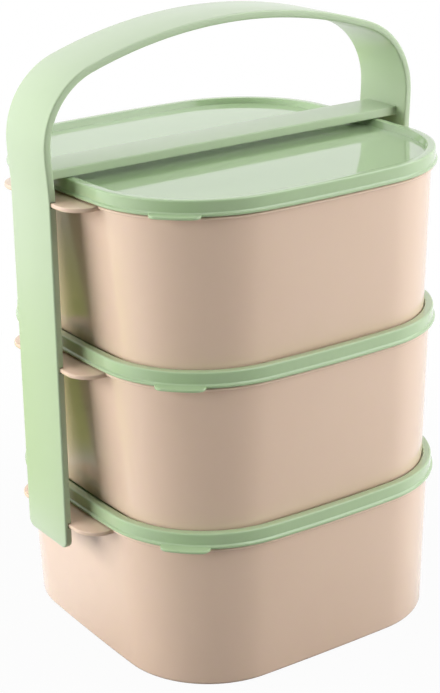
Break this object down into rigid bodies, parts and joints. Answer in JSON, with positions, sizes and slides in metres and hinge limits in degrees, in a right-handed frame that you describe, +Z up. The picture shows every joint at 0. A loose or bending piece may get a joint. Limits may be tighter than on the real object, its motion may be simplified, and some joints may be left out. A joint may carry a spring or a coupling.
{
  "type": "stacking lunch box",
  "caption": "Tiered lunch box: square tubs with round corners and press-on lids, stacked in a carrying handle that slides on level and locks the lids.",
  "frame": {"origin": "on the surface the stack stands on, under the middle of the bottom tub's base", "axes": "+Z up, X along the crossbar from one handle arm to the other, -Y towards the front, where the pull tabs are on the left corner; the handle slides along Y"},
  "size_m": [0.1952, 0.1698, 0.2808],
  "materials": {
    "tub_plastic": "glossy beige moulded plastic",
    "lid_plastic": "glossy pale green moulded plastic",
    "handle_plastic": "pale green moulded plastic, a little less glossy than the lids"
  },
  "bodies": {
    "stack": {"tub_bottom": "tub_plastic", "tub_middle": "tub_plastic", "tub_top": "tub_plastic", "lid_bottom": "lid_plastic", "lid_middle": "lid_plastic", "lid_top": "lid_plastic"},
    "handle": {"carry_handle": "handle_plastic"}
  },
  "joints": [
    {"name": "handle_slide", "type": "slide", "parent": "stack", "child": "handle", "axis": [0, 1, 0], "range_m": [-0.055, 0.055]}
  ]
}
